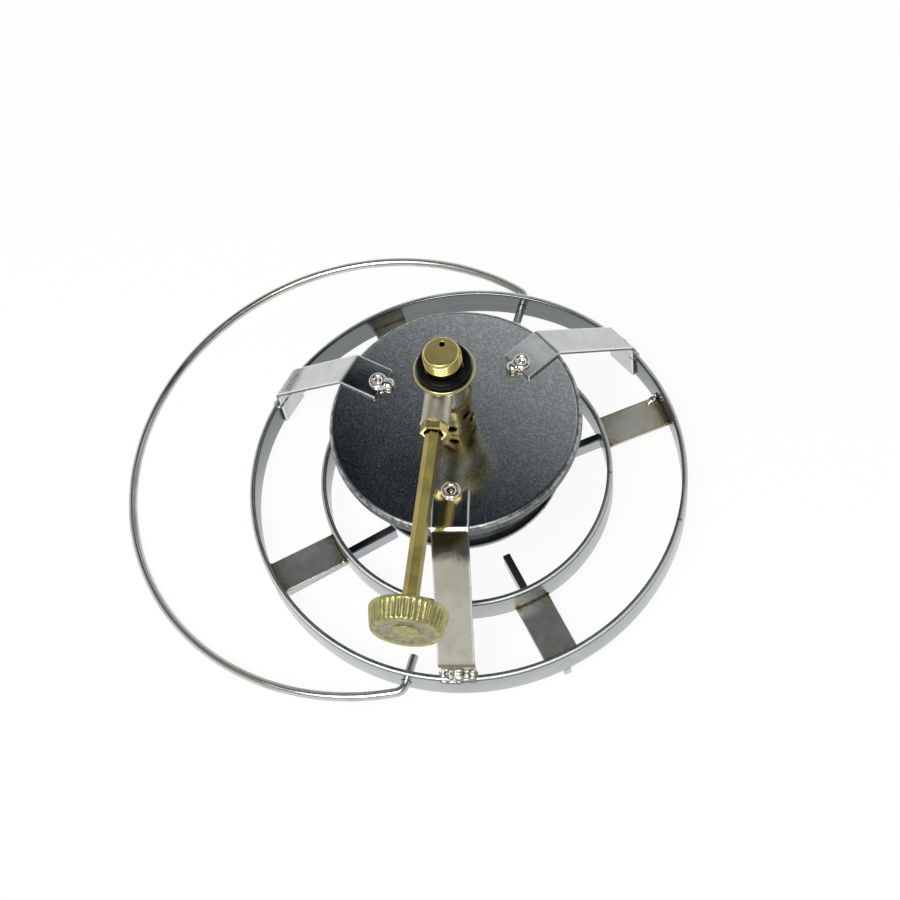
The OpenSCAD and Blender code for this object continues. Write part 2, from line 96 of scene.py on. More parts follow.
def mixed(tree, factor, first, second, blend="MIX"):
    """The colour output of one Mix node, whose colour sockets are inputs 6 and 7 and output 2."""
    first, second = (colour if isinstance(colour, bpy.types.NodeSocket) else (*colour, 1.0)
                     for colour in (first, second))
    made = new_node(tree, "Mix", {0: factor, 6: first, 7: second}, data_type="RGBA", blend_type=blend)
    return made.outputs[2]


def ramp_of(tree, value, stops):
    """The colour output of a ramp through stops, each a position and a colour."""
    made = new_node(tree, "ValToRGB", {"Fac": value})
    steps = made.color_ramp.elements
    for step, (position, colour) in zip(steps, (stops[0], stops[-1])):
        step.position = position
        step.color = (*colour, 1.0)
    for position, colour in stops[1:-1]:
        steps.new(position).color = (*colour, 1.0)
    return made.outputs["Color"]


def group_with(name, inputs, outputs):
    """An empty shader node group; each socket is a name and the kind of its value."""
    tree = bpy.data.node_groups.new(name, "ShaderNodeTree")
    for way, sockets in (("INPUT", inputs), ("OUTPUT", outputs)):
        for socket, kind in sockets.items():
            tree.interface.new_socket(name=socket, in_out=way, socket_type="NodeSocket" + kind)
    return tree, tree.nodes.new("NodeGroupInput").outputs, tree.nodes.new("NodeGroupOutput").inputs


# Handling marks that every metal here shares: broad cloudy smudges, fine grain and a few scratches.
marks, given, out = group_with(
    "handling_marks", {"Vector": "Vector", "Cloud Scale": "Float", "Grain Scale": "Float"},
    {"Cloud": "Float", "Grain": "Float", "Scratch": "Float"})
cloud = new_node(marks, "TexNoise", {"Vector": given["Vector"], "Scale": given["Cloud Scale"],
                                     "Detail": 5.0, "Roughness": 0.6, "Distortion": 0.4})
grain = new_node(marks, "TexNoise", {"Vector": given["Vector"], "Scale": given["Grain Scale"],
                                     "Detail": 2.0, "Roughness": 0.5})
drift = new_node(marks, "TexNoise", {"Vector": given["Vector"], "Scale": 60.0, "Detail": 2.0})
swung = new_node(marks, "VectorMath", {0: drift.outputs["Color"], 1: (0.02, 0.02, 0.02), 2: given["Vector"]},
                 operation="MULTIPLY_ADD")
cells = new_node(marks, "TexVoronoi", {"Vector": swung.outputs[0], "Scale": 55.0}, feature="DISTANCE_TO_EDGE")
marks.links.new(cloud.outputs["Fac"], out["Cloud"])
marks.links.new(grain.outputs["Fac"], out["Grain"])
marks.links.new(step_of(marks, cells.outputs["Distance"], 0.0, 0.012, 1.0, 0.0), out["Scratch"])

# Lines left by rolling or turning about the axis: they change with the radius and the height only.
lines_round, given, out = group_with(
    "lines_round_axis", {"Vector": "Vector", "Scale": "Float"},
    {"Lines": "Float", "Radius": "Float", "Height": "Float", "Angle": "Float"})
split = new_node(lines_round, "SeparateXYZ", {"Vector": given["Vector"]})
flat = new_node(lines_round, "CombineXYZ", {"X": split.outputs["X"], "Y": split.outputs["Y"]})
radius = new_node(lines_round, "VectorMath", {0: flat.outputs[0]}, operation="LENGTH").outputs["Value"]
rings = new_node(lines_round, "CombineXYZ", {"X": radius, "Y": split.outputs["Z"]})
turned = new_node(lines_round, "TexNoise", {"Vector": rings.outputs[0], "Scale": given["Scale"],
                                            "Detail": 3.0, "Roughness": 0.7})
lines_round.links.new(turned.outputs["Fac"], out["Lines"])
lines_round.links.new(radius, out["Radius"])
lines_round.links.new(split.outputs["Z"], out["Height"])
lines_round.links.new(math_of(lines_round, "ARCTAN2", split.outputs["Y"], split.outputs["X"]), out["Angle"])

# Heat bloom round a weld: brown at the weld, then straw, a thin grey ring and bare metal.
BLOOM_STOPS = ((0.1, (0.30, 0.23, 0.15)), (0.32, (0.52, 0.44, 0.31)), (0.47, (0.93, 0.87, 0.72)),
               (0.57, (0.74, 0.71, 0.66)), (0.68, (1.0, 0.97, 0.92)), (0.8, (0.88, 0.88, 0.87)),
               (1.0, (1.0, 1.0, 1.0)))
bloom, given, out = group_with(
    "weld_bloom", {"Distance": "Float", "Reach": "Float", "Ripple": "Float"}, {"Tint": "Color"})
uneven = math_of(bloom, "MULTIPLY_ADD", given["Ripple"], 4.0 * MM, given["Distance"])
bloom.links.new(ramp_of(bloom, math_of(bloom, "DIVIDE", uneven, given["Reach"]), BLOOM_STOPS), out["Tint"])


def metal(name, colour, shade, roughness, cloud=40.0, grain=900.0, bump=0.02):
    """A bare metal with handling marks; returns its material, tree, shader and the sockets that shape it."""
    material = bpy.data.materials.new(name)
    material.use_nodes = True
    tree = material.node_tree
    shader = tree.nodes["Principled BSDF"]
    shader.inputs["Metallic"].default_value = 1.0
    place = new_node(tree, "TexCoord").outputs["Object"]
    marked = new_node(tree, "Group", {"Vector": place, "Cloud Scale": cloud, "Grain Scale": grain},
                      node_tree=marks).outputs
    smudge = step_of(tree, marked["Cloud"], 0.38, 0.68)
    tone = mixed(tree, smudge, colour, shade)
    gloss = math_of(tree, "MULTIPLY_ADD", smudge, roughness[1] - roughness[0], roughness[0])
    gloss = math_of(tree, "MULTIPLY_ADD", marked["Scratch"], 0.03, gloss)
    tree.links.new(tone, shader.inputs["Base Color"])
    tree.links.new(gloss, shader.inputs["Roughness"])
    relief = new_node(tree, "Bump", {"Height": marked["Grain"], "Strength": bump, "Distance": 0.4 * MM})
    tree.links.new(relief.outputs[0], shader.inputs["Normal"])
    return {"material": material, "tree": tree, "shader": shader, "place": place, "turned": place,
            "marked": marked, "tone": tone, "gloss": gloss, "relief": relief.inputs}


def tinted(made, mask, colour, blend="MIX"):
    """Covers a metal with another colour where a mask says."""
    made["tone"] = mixed(made["tree"], mask, made["tone"], colour, blend)
    made["tree"].links.new(made["tone"], made["shader"].inputs["Base Color"])


def roughened(made, mask, more):
    """Makes a metal rougher where a mask says."""
    made["gloss"] = math_of(made["tree"], "MULTIPLY_ADD", mask, more, made["gloss"])
    made["tree"].links.new(made["gloss"], made["shader"].inputs["Roughness"])


def scored(made, lines, share):
    """Adds lines to the fine grain of a metal's relief."""
    height = math_of(made["tree"], "MULTIPLY_ADD", lines, share, made["marked"]["Grain"])
    made["tree"].links.new(height, made["relief"]["Height"])


def lines_in(made, scale):
    """The outputs of the lines round the axis, placed in a metal."""
    lines = new_node(made["tree"], "Group", {"Vector": made["place"], "Scale": scale}, node_tree=lines_round)
    return lines.outputs


def bloomed(made, spots):
    """Adds heat bloom round points in the metal's own turned coordinates, each with its reach."""
    tree = made["tree"]
    for spot, reach in spots:
        away = new_node(tree, "VectorMath", {0: made["turned"], 1: spot}, operation="DISTANCE")
        tint = new_node(tree, "Group", {"Distance": away.outputs["Value"], "Ripple": made["marked"]["Cloud"],
                                        "Reach": reach}, node_tree=bloom)
        tinted(made, 1.0, tint.outputs["Tint"], "MULTIPLY")


def rolled_bar(name, seam_az, middle, top):
    """Plated bar of a ring, given its middle radius and top: painted darker reflection inside, a painted highlight
    on the outer half of the rim with a painted dark line below it, and a butt seam.
    """
    made = metal(name, (0.45, 0.475, 0.475), (0.385, 0.41, 0.41), (0.17, 0.27), cloud=22.0)
    tree = made["tree"]
    lines = lines_in(made, 1400.0)
    radius, height = lines["Radius"], lines["Height"]
    scored(made, lines["Lines"], 0.8)
    streak = step_of(tree, lines["Lines"], 0.35, 0.7)
    tinted(made, math_of(tree, "MULTIPLY", streak, 0.3), (0.33, 0.35, 0.36))
    # Painted darker reflection: the inner face is tinted dark, keeping the rolling streaks.
    dulled = step_of(tree, radius, middle - 0.5 * MM, middle - 0.9 * MM)
    tinted(made, dulled, mixed(tree, streak, (0.14, 0.153, 0.153), (0.20, 0.215, 0.215)))
    # Painted highlight: the outer half of the top rim is tinted light and made rougher.
    rim = math_of(tree, "MULTIPLY", step_of(tree, height, top - 0.6 * MM, top - 0.3 * MM),
                  step_of(tree, radius, middle - 0.05 * MM, middle + 0.45 * MM))
    tinted(made, rim, (0.72, 0.745, 0.74))
    roughened(made, rim, 0.26)
    # Painted dark reflection: a thin dark line on the outer face just under the rim.
    below = band_of(tree, height, (top - 1.7 * MM, top - 1.3 * MM), (top - 0.3 * MM, top - 0.6 * MM))
    outside = step_of(tree, radius, middle, middle + 0.3 * MM, 0.0, 0.9)
    tinted(made, math_of(tree, "MULTIPLY", below, outside), (0.06, 0.065, 0.065))
    off = math_of(tree, "ABSOLUTE", math_of(tree, "SUBTRACT", lines["Angle"], math.radians(seam_az)))
    tinted(made, step_of(tree, off, 0.004, 0.009, 0.75, 0.0), (0.12, 0.11, 0.10))
    return made


def softened(node, material, width, segments=2, angle=32.0, flat=False):
    """A copy of a CAD piece with its sharp edges broken, as deburred metal has; it stands for that piece."""
    bpy.ops.object.select_all(action="DESELECT")
    piece = bpy.data.objects.new(node + "_finished", frame["nodes"][node].data.copy())
    bpy.context.scene.collection.objects.link(piece)
    piece.data.materials.clear()
    piece.select_set(True)
    bpy.context.view_layer.objects.active = piece
    bpy.ops.mesh.customdata_custom_splitnormals_clear()
    bpy.ops.object.mode_set(mode="EDIT")
    bpy.ops.mesh.select_all(action="SELECT")
    bpy.ops.mesh.remove_doubles(threshold=SAME_POINT)
    bpy.ops.mesh.dissolve_limited(angle_limit=SAME_PLANE)
    bpy.ops.object.mode_set(mode="OBJECT")
    if width:
        edge = piece.modifiers.new("broken_edge", "BEVEL")
        edge.width = width
        edge.segments = segments
        edge.limit_method = "ANGLE"
        edge.angle_limit = math.radians(angle)
        bpy.ops.object.modifier_apply(modifier=edge.name)
    bpy.ops.object.shade_smooth_by_angle(angle=math.radians(angle))
    if flat:
        flats = piece.modifiers.new("flats_stay_flat", "WEIGHTED_NORMAL")
        flats.weight = 100
        flats.keep_sharp = True
        bpy.ops.object.modifier_apply(modifier=flats.name)
    piece.data.materials.append(material)
    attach(piece, body_of[node])
    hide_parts(node)
    return piece


def at_azimuth(r, azimuth, z):
    """A point at a radius and height in a direction about the axis."""
    turn = math.radians(azimuth)
    return (r * math.cos(turn), r * math.sin(turn), z)


made = rolled_bar("outer_ring_bar", OUTER_SEAM_AZ, OUTER_R - 0.5 * RING_T, RING_TOP)
bloomed(made, [(at_azimuth(RING_WALL - 3.0 * MM, az, BLOOM_Z), 10.0 * MM) for az in SPOKE_AZ])
softened("outer_ring", made["material"], 0.0)

# Inner ring
# The same plated steel bar rolled to a smaller ring and set a little higher.
# It is butt welded at one seam, and welded to the ends of the spokes and to the pot rests.
INNER_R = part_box("inner_ring")[1].x
INNER_SEAM_AZ = 3.2
made = rolled_bar("inner_ring_bar", INNER_SEAM_AZ, INNER_R - 0.5 * RING_T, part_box("inner_ring")[1].z)
bloomed(made, [(at_azimuth(INNER_R + 2.0 * MM, az, BLOOM_Z), 11.0 * MM) for az in SPOKE_AZ])
softened("inner_ring", made["material"], 0.0)

# Pot rests
# Four steel bars on edge, cropped square and stepped at the outer end, welded under both rings.
# They are the pieces the pot stands on, darkened on their top towards the burner, partly heat tint from the flame
# and partly a painted dark reflection.
REST_AZ = (27.6, 119.9, 215.6, 302.1)
REST_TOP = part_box("pot_rest_1")[1].z
BAR_EDGE = 0.5 * MM
FLAME_REACH = (68.0 * MM, 62.0 * MM)

# Brushed lines along a strip, from coordinates whose X runs along it.
brushed_lines, given, out = group_with("brushed_lines", {"Vector": "Vector"}, {"Lines": "Float"})
drawn_out = new_node(brushed_lines, "VectorMath", {0: given["Vector"], 1: (40.0, 2600.0, 40.0)},
                     operation="MULTIPLY")
brushed = new_node(brushed_lines, "TexNoise", {"Vector": drawn_out.outputs[0], "Scale": 1.0,
                                               "Detail": 4.0, "Roughness": 0.6})
brushed_lines.links.new(brushed.outputs["Fac"], out["Lines"])


def drawn_strip(name, azimuth, colour, shade, roughness, cloud=55.0):
    """Strip metal brushed along its length, which points away from the axis at this azimuth."""
    made = metal(name, colour, shade, roughness, cloud=cloud, grain=1500.0)
    tree = made["tree"]
    unturned = (0.0, 0.0, -math.radians(azimuth))
    made["turned"] = new_node(tree, "Mapping", {"Vector": made["place"], "Rotation": unturned}).outputs[0]
    made["away"] = new_node(tree, "SeparateXYZ", {"Vector": made["turned"]}).outputs
    lines = new_node(tree, "Group", {"Vector": made["turned"]}, node_tree=brushed_lines)
    made["brushed"] = lines.outputs["Lines"]
    scored(made, made["brushed"], 1.2)
    return made


for count, azimuth in enumerate(REST_AZ, 1):
    made = drawn_strip(f"pot_rest_bar_{count}", azimuth, (0.52, 0.54, 0.56), (0.42, 0.43, 0.45), (0.16, 0.26))
    tree = made["tree"]
    # Heat tint and painted dark reflection: the inner part of each bar darkens towards the burner, most on its top
    # face.
    upper = step_of(tree, made["away"]["Z"], REST_TOP - 1.2 * MM, REST_TOP - 0.4 * MM, 0.25, 0.9)
    flamed = math_of(tree, "MULTIPLY", step_of(tree, made["away"]["X"], *FLAME_REACH), upper)
    tinted(made, flamed, (0.055, 0.06, 0.075))
    softened(f"pot_rest_{count}", made["material"], BAR_EDGE, 3, flat=True)

# Spokes
# Flat steel bars lying on the pot rests, their ends cut to the rings and welded there.
# The bar is satin grey, with brown bloom and faint curved rings round the corners that were welded.
SPOKE_HALF = 8.0 * MM
SPOKE_TONES = ((0.70, 0.69, 0.625), (0.62, 0.615, 0.58), (0.65, 0.65, 0.63), (0.585, 0.585, 0.58))
END_BROWN = (0.75, 0.3, 0.3, 0.3)
EDGE_BROWN = (0.7, 0.4, 0.4, 0.2)
BROWNED = (0.80, 0.70, 0.50)

# Mottle of worn plating: dark patches between a low and a high value of a rough noise.
mottle, given, out = group_with(
    "mottled_plating", {"Vector": "Vector", "Scale": "Float", "Detail": "Float", "Roughness": "Float",
                        "Low": "Float", "High": "Float", "Most": "Float"}, {"Dark": "Float"})
patches = new_node(mottle, "TexNoise", {"Vector": given["Vector"], "Scale": given["Scale"],
                                        "Detail": given["Detail"], "Roughness": given["Roughness"]})
mottle.links.new(step_of(mottle, patches.outputs["Fac"], given["Low"], given["High"], 0.0, given["Most"]),
                 out["Dark"])


def darker(colour, share):
    """A colour at a share of its strength."""
    return tuple(share * part for part in colour)


def mottled(made, colour, **values):
    """Covers a metal with patches of a colour, with the mottle's own values."""
    patched = new_node(made["tree"], "Group", {"Vector": made["place"], **values}, node_tree=mottle)
    tinted(made, patched.outputs["Dark"], colour)


for count, (azimuth, pale, end, edge) in enumerate(zip(SPOKE_AZ, SPOKE_TONES, END_BROWN, EDGE_BROWN), 1):
    made = drawn_strip(f"spoke_bar_{count}", azimuth, pale, darker(pale, 0.9), (0.28, 0.33), 60.0)
    tree = made["tree"]
    made["relief"]["Strength"].default_value = 0.01
    mottled(made, darker(pale, 0.72), Scale=260.0, Detail=7.0, Roughness=0.75,
            Low=0.42, High=0.68, Most=0.5)
    ragged = math_of(tree, "MULTIPLY_ADD", made["marked"]["Cloud"], 7.0 * MM, made["away"]["X"])
    beside = math_of(tree, "ABSOLUTE", made["away"]["Y"])
    spread = math_of(tree, "MULTIPLY_ADD", made["marked"]["Cloud"], 6.0 * MM, beside)
    browned = math_of(tree, "MAXIMUM", step_of(tree, ragged, 84.0 * MM, 98.0 * MM, 0.0, end),
                      step_of(tree, spread, SPOKE_HALF + 0.5 * MM, SPOKE_HALF + 3.5 * MM, 0.0, edge))
    tinted(made, browned, mixed(tree, 1.0, made["tone"], BROWNED, "MULTIPLY"))
    bloomed(made, [((r, side * SPOKE_HALF, SPOKE_TOP), reach)
                   for r, reach in ((RING_WALL, 10.0 * MM), (INNER_R, 11.0 * MM)) for side in (-1.0, 1.0)])
    softened(f"spoke_{count}", made["material"], BAR_EDGE, 3, flat=True)

# Hangers
# Three steel strips bent twice: welded upright inside the outer ring, sloping in and lying flat on the plate.
# The strip is bright, nearly a mirror on the flat, with a dark brown line across the outside of the lower bend.
HANGER_AZ = (274.6, 47.1, 157.0)
WARM_STRIP = ((0.68, 0.665, 0.58), (0.60, 0.585, 0.505))
COOL_STRIP = ((0.53, 0.55, 0.545), (0.47, 0.485, 0.48))
STRIP_HALF = 8.0 * MM
STRIP_EDGE = 0.45 * MM
KNEE_Z = 30.2 * MM
LAND_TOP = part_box("hanger_1")[1].z
PLUG_SPOT = (37.0 * MM, 0.0, 75.0 * MM)
for count, azimuth in enumerate(HANGER_AZ, 1):
    # The front hanger takes the warmer, brighter copy of the strip colour, a painted warm reflection; the other
    # two take the cooler one.
    colour, shade = WARM_STRIP if count == 1 else COOL_STRIP
    made = drawn_strip(f"hanger_strip_{count}", azimuth, colour, shade, (0.05, 0.10))
    tree = made["tree"]
    roughened(made, step_of(tree, made["brushed"], 0.45, 0.75), 0.07)
    across = math_of(tree, "ABSOLUTE", made["away"]["Y"])
    # Sheared edges made rougher, with a painted highlight: a light band along both edges of the strip.
    sheared = step_of(tree, across, STRIP_HALF - 1.0 * MM, STRIP_HALF - 0.6 * MM)
    roughened(made, sheared, 0.24)
    tinted(made, sheared, (0.80, 0.81, 0.80))
    # Painted shade: the strip's side faces are tinted dark.
    tinted(made, step_of(tree, across, STRIP_HALF - 0.1 * MM, STRIP_HALF - 0.02 * MM), (0.24, 0.25, 0.25))
    mottled(made, darker(shade, 0.72), Scale=300.0, Detail=6.0, Roughness=0.72,
            Low=0.48, High=0.72, Most=0.45)
    wander = math_of(tree, "MULTIPLY_ADD", made["brushed"], 1.6 * MM, made["away"]["Z"])
    knee = band_of(tree, wander, (KNEE_Z - 1.3 * MM, KNEE_Z - 0.3 * MM),
                   (KNEE_Z + 2.6 * MM, KNEE_Z + 0.8 * MM))
    tinted(made, math_of(tree, "MULTIPLY", knee, 0.85), (0.13, 0.10, 0.065))
    if count == 1:
        # Painted dark reflection: on the front hanger a ragged dark band runs down the slope just below the upper
        # bend.
        ragged = math_of(tree, "MULTIPLY_ADD", made["marked"]["Cloud"], 10.0 * MM, made["away"]["Z"])
        smoked = math_of(tree, "MULTIPLY", step_of(tree, ragged, LAND_TOP - 6.05 * MM, LAND_TOP - 2.05 * MM),
                         step_of(tree, made["away"]["Z"], LAND_TOP - 0.85 * MM, LAND_TOP - 1.45 * MM))
        tinted(made, math_of(tree, "MULTIPLY", smoked, 0.88), (0.03, 0.03, 0.03))
    bloomed(made, [(PLUG_SPOT, 10.0 * MM)])
    softened(f"hanger_{count}", made["material"], STRIP_EDGE, 3, flat=True)

# Burner bowl
# Drawn steel bowl under the plate, clamped there by the mixing tube's nut, with its rim rolled to a bead.
# It is grey on its wall, darkened towards the rim with painted shade, with a black band above the bead, and bright
# at the bead.
BOWL_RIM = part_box("burner_bowl")[0].z
made = metal("drawn_bowl", (0.46, 0.47, 0.48), (0.34, 0.35, 0.36), (0.24, 0.36), cloud=30.0)
tree = made["tree"]
lines = lines_in(made, 900.0)
height = lines["Height"]
tree.links.new(lines["Lines"], made["relief"]["Height"])
# Painted shade: the wall darkens from 20 mm above the rim down to 12 mm above it and stays dark below.
tinted(made, step_of(tree, height, BOWL_RIM + 20.0 * MM, BOWL_RIM + 12.0 * MM), (0.15, 0.16, 0.165))
# A black band round the wall just above the bead.
sooty = band_of(tree, height, (BOWL_RIM + 1.4 * MM, BOWL_RIM + 2.2 * MM),
                (BOWL_RIM + 7.4 * MM, BOWL_RIM + 6.2 * MM))
tinted(made, sooty, (0.03, 0.03, 0.032))
tinted(made, step_of(tree, height, BOWL_RIM + 2.0 * MM, BOWL_RIM + 1.4 * MM), (0.62, 0.64, 0.64))
softened("burner_bowl", made["material"], 0.15 * MM)

# Burner cap
# Pressed steel cap pushed into the bowl's mouth and pierced with rings of flame ports.
# Heat has blued and dulled it.
made = metal("burner_cap_steel", (0.30, 0.29, 0.30), (0.20, 0.18, 0.17), (0.3, 0.45), cloud=60.0)
softened("burner_cap", made["material"], 0.12 * MM, flat=True)

# Base plate
# Round plate pressed from dark satin sheet, with a fine pickled grain, its lip darkened with painted shade and a
# bright corner, partly worn and partly a painted highlight.
# It carries the hangers, the bowl below and the mixing tube above.
PLATE_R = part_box("base_plate")[1].x
PLATE_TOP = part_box("base_plate")[1].z
PLATE_CORNER = PLATE_R + PLATE_TOP
made = metal("satin_plate", (0.385, 0.40, 0.41), (0.345, 0.36, 0.37), (0.09, 0.12),
             cloud=26.0, grain=4200.0, bump=0.05)
tree = made["tree"]
lines = lines_in(made, 300.0)
pickle = new_node(tree, "TexNoise", {"Vector": made["place"], "Scale": 1150.0, "Detail": 3.0})
tinted(made, step_of(tree, pickle.outputs["Fac"], 0.40, 0.66), (0.54, 0.555, 0.565))
pits = new_node(tree, "TexNoise", {"Vector": made["place"], "Scale": 950.0, "Detail": 2.0})
roughened(made, step_of(tree, pits.outputs["Fac"], 0.44, 0.66), 0.025)
nick = new_node(tree, "TexNoise", {"Vector": made["place"], "Scale": 420.0, "Detail": 3.0})
corner = math_of(tree, "ADD", lines["Radius"], lines["Height"])
# Painted shade: the plate's lip and outer corner are tinted dark and made rougher.
lip = math_of(tree, "MAXIMUM", step_of(tree, corner, PLATE_CORNER - 2.35 * MM, PLATE_CORNER - 1.85 * MM),
              step_of(tree, lines["Height"], PLATE_TOP - 1.2 * MM, PLATE_TOP - 1.9 * MM))
tinted(made, lip, (0.135, 0.145, 0.15))
roughened(made, lip, 0.2)
# Worn nicks and painted highlight: patches along the very corner are tinted lighter again.
worn = math_of(tree, "MULTIPLY", step_of(tree, corner, PLATE_CORNER - 1.9 * MM, PLATE_CORNER - 1.6 * MM),
               step_of(tree, nick.outputs["Fac"], 0.42, 0.58, 0.1, 0.85))
tinted(made, worn, (0.42, 0.43, 0.43))
bloomed(made, [(at_azimuth(34.5 * MM, az, PLATE_TOP), 10.0 * MM) for az in HANGER_AZ])
softened("base_plate", made["material"], 0.15 * MM, flat=True)

# Welds
# Weld metal joins the frame: a plug at each hanger's tip, a bead over the rim at each hanger's foot,
# and thin burnt fillets with bright ends where the spokes meet the rings.
PLUGS = ((36.2 * MM, 36.2 * MM, 0.0), (38.6 * MM, 34.3 * MM, 1.0), (38.4 * MM, 33.7 * MM, -1.0))
RIM_ROWS = ((96.9 * MM, 0.2), (98.3 * MM, 0.1), (99.6 * MM, -1.7))
RIM_LUMPS = 5
RIM_PITCH = 3.3 * MM
SEAM_LUMPS = 41
SEAM_PITCH = 0.395 * MM
bright_weld = metal("bright_weld", (0.80, 0.80, 0.79), (0.62, 0.61, 0.58), (0.08, 0.16),
                    cloud=220.0, grain=500.0, bump=0.12)["material"]
grey_weld = metal("grey_weld", (0.36, 0.365, 0.365), (0.13, 0.128, 0.122), (0.30, 0.44),
                  cloud=380.0, grain=650.0, bump=0.35)["material"]
burnt_weld = metal("burnt_weld", (0.07, 0.055, 0.038), (0.13, 0.105, 0.07), (0.34, 0.45),
                   cloud=260.0, grain=900.0, bump=0.3)["material"]
straw_weld = metal("straw_weld", (0.58, 0.55, 0.47), (0.36, 0.33, 0.27), (0.20, 0.32),
                   cloud=240.0, grain=500.0, bump=0.06)["material"]


def weld_from(name, lumps, voxel, azimuth, material, passes=6):
    """Lumps of weld metal run together; each is a ring or a ball given by its place, size and squash."""
    bpy.ops.object.select_all(action="DESELECT")
    made_lumps = []
    for shape, centre, size, squash in lumps:
        if shape == "ring":
            bpy.ops.mesh.primitive_torus_add(major_radius=size, minor_radius=0.46 * size,
                                             major_segments=40, minor_segments=16)
        else:
            bpy.ops.mesh.primitive_uv_sphere_add(radius=size, segments=24, ring_count=14)
        lump = bpy.context.object
        lump.scale = squash
        lump.location = centre
        bpy.ops.object.transform_apply(location=True, rotation=True, scale=True)
        made_lumps.append(lump)
    bpy.ops.object.select_all(action="DESELECT")
    for lump in made_lumps:
        lump.select_set(True)
    weld = made_lumps[0]
    bpy.context.view_layer.objects.active = weld
    bpy.ops.object.join()
    weld.name = name
    run = weld.modifiers.new("run_together", "REMESH")
    run.mode = "VOXEL"
    run.voxel_size = voxel
    bpy.ops.object.modifier_apply(modifier=run.name)
    settle = weld.modifiers.new("settled", "SMOOTH")
    settle.factor = 0.5
    settle.iterations = passes
    bpy.ops.object.modifier_apply(modifier=settle.name)
    bpy.ops.object.shade_smooth()
    weld.data.transform(Matrix.Rotation(math.radians(azimuth), 4, "Z"))
    weld.data.materials.clear()
    weld.data.materials.append(material)
    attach(weld, "frame")
    return weld


random.seed(7)
for count, (azimuth, (ring_r, lobe_r, side)) in enumerate(zip(HANGER_AZ, PLUGS), 1):
    ring_z = LAND_TOP + (0.4 if side else 0.1) * MM
    lobe_z = PLATE_TOP + 1.1 * MM
    between_r = 0.5 * (ring_r + lobe_r)
    plug = [("ring", (ring_r, 0.0, ring_z), 2.8 * MM if side else 3.0 * MM, (1.0, 1.0, 0.9)),
            ("ball", (ring_r, 0.2 * MM, ring_z - 0.7 * MM), 1.1 * MM, (1.2, 1.0, 0.8))]
    if side:
        plug += [("ball", (lobe_r, side * 1.1 * MM, lobe_z), 2.7 * MM, (1.0, 1.1, 0.75)),
                 ("ball", (between_r, side * 2.0 * MM, lobe_z), 1.8 * MM, (1.2, 0.8, 0.8)),
                 ("ball", (between_r, -side * 1.8 * MM, lobe_z), 1.5 * MM, (1.2, 0.8, 0.8))]
    weld_from(f"plug_weld_{count}", plug, 0.2 * MM, azimuth, bright_weld)
    bead = []
    for row_r, rise in RIM_ROWS:
        for step in range(RIM_LUMPS):
            across = (step - 0.5 * (RIM_LUMPS - 1)) * RIM_PITCH + random.uniform(-0.8, 0.8) * MM
            out_r = row_r + random.uniform(-0.3, 0.3) * MM - across * across / (2.0 * RING_WALL)
            up = RING_TOP + (rise + random.uniform(-0.35, 0.35)) * MM
            size = random.uniform(1.5, 2.3) * MM
            squash = (random.uniform(0.6, 1.0), random.uniform(0.9, 1.5), 0.5)
            bead.append(("ball", (out_r, across, up), size, squash))
    weld_from(f"rim_weld_{count}", bead, 0.2 * MM, azimuth, grey_weld, 12)

for count, azimuth in enumerate(SPOKE_AZ, 1):
    for end, wall, inset in (("outer", RING_WALL, -0.1 * MM), ("inner", INNER_R, 0.1 * MM)):
        seam = []
        for step in range(SEAM_LUMPS):
            across = (step - 0.5 * (SEAM_LUMPS - 1)) * SEAM_PITCH
            size = random.uniform(0.42, 0.5) * MM
            out_r = math.sqrt(wall * wall - across * across) + inset
            seam.append(("ball", (out_r, across, SPOKE_TOP), size, (1.0, 1.2, 1.0)))
        weld_from(f"spoke_seam_{end}_{count}", seam, 0.12 * MM, azimuth, burnt_weld)
tack = [("ball", (RING_WALL - 2.6 * MM, 6.4 * MM, SPOKE_TOP + 0.4 * MM), 1.9 * MM, (1.25, 0.95, 0.65)),
        ("ball", (RING_WALL - 4.4 * MM, 5.9 * MM, SPOKE_TOP + 0.1 * MM), 1.5 * MM, (1.1, 0.9, 0.6)),
        ("ball", (RING_WALL - 0.9 * MM, 6.9 * MM, SPOKE_TOP + 2.2 * MM), 1.3 * MM, (0.7, 1.0, 1.1))]
weld_from("spoke_tack_1", tack, 0.18 * MM, SPOKE_AZ[0], straw_weld, 8)
drop = [("ball", (INNER_R + 0.9 * MM, 7.9 * MM, SPOKE_TOP + 0.5 * MM), 1.0 * MM, (1.0, 1.0, 1.0)),
        ("ball", (INNER_R + 0.4 * MM, 7.2 * MM, SPOKE_TOP + 0.1 * MM), 0.8 * MM, (1.0, 1.3, 0.9))]
weld_from("spoke_drop_3", drop, 0.16 * MM, SPOKE_AZ[2], bright_weld)

# Mixing tube and its nut
# Turned brass tube with two rows of air holes, shouldered on the plate and held by a hexagon nut in the bowl.
# Years of gas have dulled it; its bore is painted nearly black as shade.
TUBE_R = 9.0 * MM


def turned_brass(name, colour, shade, roughness, scale=2200.0, strength=0.12):
    """Turned brass with fine tool lines about the inlet's axis."""
    made = metal(name, colour, shade, roughness, cloud=120.0, grain=1200.0)
    made["lines"] = lines_in(made, scale)
    scored(made, made["lines"]["Lines"], 1.0)
    made["relief"]["Strength"].default_value = strength
    return made


made = turned_brass("tube_brass", (0.33, 0.265, 0.088), (0.12, 0.09, 0.033), (0.34, 0.5))
# Painted shade: the bore is tinted nearly black.
inside = step_of(made["tree"], made["lines"]["Radius"], TUBE_R - 0.25 * MM, TUBE_R - 0.6 * MM)
tinted(made, inside, (0.02, 0.016, 0.01))
tube_brass = made["material"]
softened("mixing_tube", tube_brass, 0.12 * MM)
softened("tube_nut", tube_brass, 0.2 * MM, flat=True)

# Gas jet
# Small nozzle turned from the same brass and screwed into the valve body.
# It is just seen through the air holes.
softened("gas_jet", tube_brass, 0.1 * MM)

